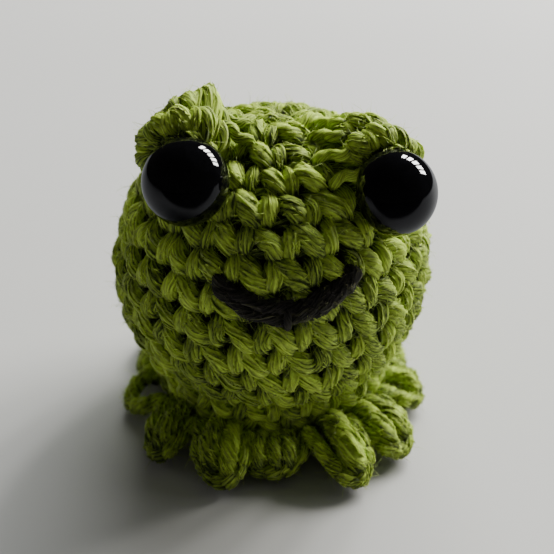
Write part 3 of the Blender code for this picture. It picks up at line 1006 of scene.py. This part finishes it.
def skirt_foundation():
    """Two strands laid round each other along the ring of hinges."""
    rope = YarnPiece("skirt_foundation", 500)
    for half_turn in (0.0, math.pi):
        points = []
        for i in range(241):
            a = 2 * math.pi * i / 240
            w = ROPE_TURNS * a + half_turn
            r = RING_RADIUS + 0.5 * math.cos(w)
            points.append(np.array([r * math.sin(a), r * math.cos(a), RING_HEIGHT + 0.5 * math.sin(w)]))
        rope.strand(points, 0.95, hint=(0, 0, 1), step=0.7, plies=16)
    finish_piece(rope.build(GREEN), "head", "green_yarn", "skirt_band")


def skirt_collar():
    """Rounds of stitches that hang the skirt from the ball."""
    collar = YarnPiece("skirt_collar", 501)
    top = on_head(0.0, COLLAR_ELEVATION, HEAD_RADIUS - 1.4)
    top_radius, top_height = math.hypot(top[0], top[1]), top[2]
    for row in range(COLLAR_ROWS):
        for i in range(COLLAR_COUNT):
            azimuth = 360.0 * (i + 0.4 * row) / COLLAR_COUNT + 4.0

            def place(s, t, n):
                share = (row + 0.5 - t) / COLLAR_ROWS
                out = top_radius + (RING_RADIUS + 0.6 - top_radius) * share + n * 0.95
                drop = (RING_HEIGHT + 1.4 - top_height) * share - 0.25 * n
                around = azimuth + s * 360.0 / COLLAR_COUNT
                return direction(around, 0.0) * out + (0.0, 0.0, top_height + drop)

            crochet_stitch(collar, place, 1.4, direction(azimuth, -20.0))
    collar.wisps(2400)
    collar.fuzz(900, 1.3)
    finish_piece(collar.build(GREEN), "head", "green_yarn")


def lobe_rim(piece, at, length, half, lift):
    """Plump chain stitches round a lobe's edge, each link with its ends tucked under the next ones."""

    def rim(turn, inset, above):
        a = math.radians(turn)
        x = 1.5 + (length - 2.6 - inset) * abs(math.cos(a)) ** 0.6
        sag = -0.5 - 1.7 * math.cos(a) ** 2 + 0.6 * lift * math.sin(a) ** 2
        return at(x, (half - 1.15 - inset) * math.sin(a), sag + above)

    links = max(4, round((length + 0.6 * half) * 2 / LINK_LENGTH))
    span = 190.0 / links
    for i in range(links):
        first = -95.0 + i * span
        points = [
            rim(first - 0.22 * span, 0.55, -0.65),
            rim(first + 0.15 * span, 0.1, 0.2),
            rim(first + 0.55 * span, -0.1, 0.35),
            rim(first + 0.95 * span, 0.1, 0.1),
            rim(first + 1.2 * span, 0.5, -0.6),
        ]
        piece.strand(points, piece.random.uniform(1.15, 1.3), hint=(0, 0, 1), plies=16)


def lobe_post(piece, at, length, half, lift, share, thick):
    """One fat stitch from the lobe's root to its tip in two overlapping lengths, and the bed under it."""
    y = share * (half - 2.1) + piece.random.normal(0, 0.1)
    upper = [
        at(0.1, 0.45 * y, -0.9),
        at(0.9, 0.6 * y, 0.35 * lift + 0.2),
        at(0.30 * length, 0.75 * y, lift),
        at(0.46 * length, 0.85 * y, 0.85 * lift),
        at(0.56 * length, 0.9 * y, 0.1 * lift - 0.4),
    ]
    lower = [
        at(0.36 * length, 0.85 * y, 0.2 * lift - 0.5),
        at(0.48 * length, 0.9 * y, 0.8 * lift + 0.15),
        at(0.66 * length, y, 0.75 * lift - 0.1),
        at(0.80 * length, y, -0.8),
        at(0.87 * length, 0.95 * y, -2.0),
    ]
    piece.strand(upper, 0.95 * thick, hint=(0, 0, 1), twist=-1.15)
    piece.strand(lower, thick, hint=(0, 0, 1), twist=-0.8)
    for side in (-0.33, 0.33):
        bed = [at(x * length, side * half, -1.9 - 0.3 * x) for x in (0.05, 0.3, 0.55, 0.8)]
        piece.strand(bed, 1.05, hint=(0, 0, 1), plies=10)


def skirt_lobe(name, number):
    """A rim of chain stitches round a few fat ones, laid out from the lobe's hinge."""
    posts, lift, longer, wider, shift, lean = LOBE_LOOKS.get(name, PLAIN_LOBE)
    piece = YarnPiece(name + "_shell", 520 + number)
    hinge = FLEX[name]
    outward = unit((hinge[0], hinge[1], 0.0))
    along = np.array([-outward[1], outward[0], 0.0])
    cage = np.array([tuple(v.co) for v in frame["nodes"][name].data.vertices]) / MM - hinge
    length = (cage @ outward).max() + longer
    half = np.abs(cage @ along).max() + wider

    def at(x, y, z):
        aside = y + shift * min(1.0, x / 3.0) + lean * (max(x, 0.0) / length) ** 2
        return hinge + outward * x + along * aside + np.array([0.0, 0.0, z])

    lobe_rim(piece, at, length, half, lift)
    if length >= SHORT_LOBE:
        for share, thick in posts:
            lobe_post(piece, at, length, half, lift, share, thick)
    piece.wisps(1300)
    piece.fuzz(500, 1.2)

    def rest(verts):
        low = verts[:, 2] < 1.2
        z = verts[low, 2] - 0.2
        verts[low, 2] = 0.2 + 0.5 * (z + np.sqrt(z * z + 0.1))
        return verts

    # Painted shade: the lobe's lowest yarn is painted a little darker.
    def painted_shade_factor(verts):
        return np.clip((verts[:, 2] - hinge[2] + 5.8) / 4.4, 0.88, 1.0)

    obj = piece.build(GREEN, rest, painted_shade_factor)
    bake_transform(obj)
    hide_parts(name)


# ---------------------------------------------------------------- stage


def table_top():
    """The pale table. Where the eyes mirror it, its colour is painted dimmer, and dark away from the toy, as
    the room is in front of a person: painted shade in the reflections in the eyes.
    """
    floor_mesh = bpy.data.meshes.new("table_top")
    size = 3.0
    corners = [(-size, -size, 0), (size, -size, 0), (size, size, 0), (-size, size, 0)]
    floor_mesh.from_pydata(corners, [], [(0, 1, 2, 3)])
    floor = add_object("table_top", floor_mesh)
    material, nodes, links, shader = new_material("table_top_looks")
    noise = nodes.new("ShaderNodeTexNoise")
    noise.inputs["Scale"].default_value = 30.0
    ramp = ramp_node(nodes, ((0.2, (0.57, 0.57, 0.56)), (0.8, (0.61, 0.61, 0.60))))
    links.new(noise.outputs["Fac"], ramp.inputs["Fac"])
    shader.inputs["Roughness"].default_value = 0.6
    shader.inputs["Specular IOR Level"].default_value = 0.2
    path = nodes.new("ShaderNodeLightPath")
    place = nodes.new("ShaderNodeNewGeometry")
    spot = nodes.new("ShaderNodeSeparateXYZ")
    links.new(place.outputs["Position"], spot.inputs[0])
    beside = math_node(nodes, links, "ABSOLUTE", spot.outputs["X"])
    ahead = math_node(nodes, links, "MULTIPLY_ADD", beside, 0.35, spot.outputs["Y"])
    fall = nodes.new("ShaderNodeMapRange")
    fall.interpolation_type = "SMOOTHSTEP"
    links.new(ahead, fall.inputs["Value"])
    fall.inputs["From Min"].default_value = -0.045
    fall.inputs["From Max"].default_value = -0.075
    # Painted shade in the eyes' reflections: the table is dimmed for glossy rays and painted dark beyond the
    # toy.
    glossy = path.outputs["Is Glossy Ray"]
    far_reflection_shade = math_node(nodes, links, "MULTIPLY", glossy, fall.outputs["Result"])
    colour = mix_colour(nodes, links, "MIX", far_reflection_shade, ramp.outputs["Color"], (0.02, 0.02, 0.022))
    reflection_shade = mix_colour(nodes, links, "MULTIPLY", glossy, colour, (0.30, 0.31, 0.34))
    links.new(reflection_shade, shader.inputs["Base Color"])
    floor_mesh.materials.append(material)


def room():
    """Weak light from all sides, and weaker still in what the eyes mirror."""
    world = bpy.data.worlds.new("room")
    bpy.context.scene.world = world
    world.use_nodes = True
    nodes = world.node_tree.nodes
    links = world.node_tree.links
    background = nodes["Background"]
    background.inputs["Color"].default_value = (1.0, 0.97, 0.90, 1.0)
    path = nodes.new("ShaderNodeLightPath")
    strength = nodes.new("ShaderNodeMapRange")
    links.new(path.outputs["Is Glossy Ray"], strength.inputs["Value"])
    strength.inputs["To Min"].default_value = 0.050
    strength.inputs["To Max"].default_value = 0.015
    links.new(strength.outputs["Result"], background.inputs["Strength"])


def area_light(name, towards, distance, width, height, power, colour, up=(0, 0, 1), shift=(0, 0)):
    data = bpy.data.lights.new(name, "AREA")
    data.shape = "RECTANGLE"
    data.size = width
    data.size_y = height
    data.energy = power
    data.color = colour
    obj = add_object(name, data)
    out = Vector(unit(towards))
    side = Vector(up).cross(out).normalized()
    rise = out.cross(side)
    centre = Vector((0, 0, 0.03))
    obj.location = centre + out * distance + side * shift[0] + rise * shift[1]
    obj.rotation_mode = "QUATERNION"
    obj.rotation_quaternion = Matrix((side, rise, out)).transposed().to_quaternion()
    return obj


WINDOW_PANES = 5
WINDOW_PITCH = 0.132
# Name, the way towards it, distance, width and height in metres, power in watts, colour.
GLOWS = (
    ("glow_above", (0.24, 0.70, 0.67), 1.1, 0.8, 0.8, 11.5, (0.98, 1.0, 0.98)),
    ("glow_beside", (0.93, -0.05, 0.30), 1.1, 0.5, 0.4, 1.5, (1.0, 1.0, 0.97)),
    ("glow_left", (-0.90, 0.30, 0.30), 1.1, 0.6, 0.5, 0.7, (1.0, 1.0, 0.98)),
)


def lights():
    """A window with panes to the right and a little behind, and the soft glow of the room round it."""
    for pane in range(WINDOW_PANES):
        area_light(
            "window_pane_%d" % pane,
            (0.67, 0.50, 0.56),
            0.80,
            0.22,
            WINDOW_PITCH * 2 / 3,
            2.8,
            (1.0, 0.985, 0.94),
            up=(-0.66, 0.66, 0.36),
            shift=(0.0, (pane - (WINDOW_PANES - 1) / 2) * WINDOW_PITCH),
        )
    for glow in GLOWS:
        area_light(*glow).visible_glossy = False


CAMERA_AZIMUTH = -6.0
CAMERA_ELEVATION = 30.0
# In head radii.
CAMERA_DISTANCE = 6.5
# How far the middle of the frame lies to the right of the head's centre and below it, for each unit ahead.
AIM_RIGHT = 0.0049
AIM_DOWN = 0.0187


def camera():
    data = bpy.data.cameras.new("camera")
    data.sensor_width = 36.0
    data.lens = 65.9
    obj = add_object("camera", data)
    back = Vector(direction(CAMERA_AZIMUTH, CAMERA_ELEVATION))
    obj.location = Vector(HEAD_CENTRE) * MM + back * CAMERA_DISTANCE * HEAD_RADIUS * MM
    right = Vector((0, 0, 1)).cross(back).normalized()
    up = back.cross(right)
    forward = (-back + right * AIM_RIGHT - up * AIM_DOWN).normalized()
    obj.rotation_mode = "QUATERNION"
    obj.rotation_quaternion = forward.to_track_quat("-Z", "Y")
    bpy.context.scene.camera = obj
    data.dof.use_dof = True
    data.dof.focus_distance = 0.139
    data.dof.aperture_fstop = 26.0
    data.clip_start = 0.01
    data.clip_end = 10.0


head()
smile_strands()
smile_tack()
for side in EYES:
    safety_eye(side)
    eye_mound(side)
skirt_foundation()
skirt_collar()
for number, name in enumerate(sorted(FLEX)):
    skirt_lobe(name, number)
for node, material in (
    ("stuffing", FIBREFILL),
    ("closing_yarn", GREEN_PLAIN),
    ("left_eye_washer", WASHER),
    ("right_eye_washer", WASHER),
    ("smile_knot_left", BLACK_PLAIN),
    ("smile_knot_right", BLACK_PLAIN),
):
    paint(node, material)
table_top()
room()
lights()
camera()
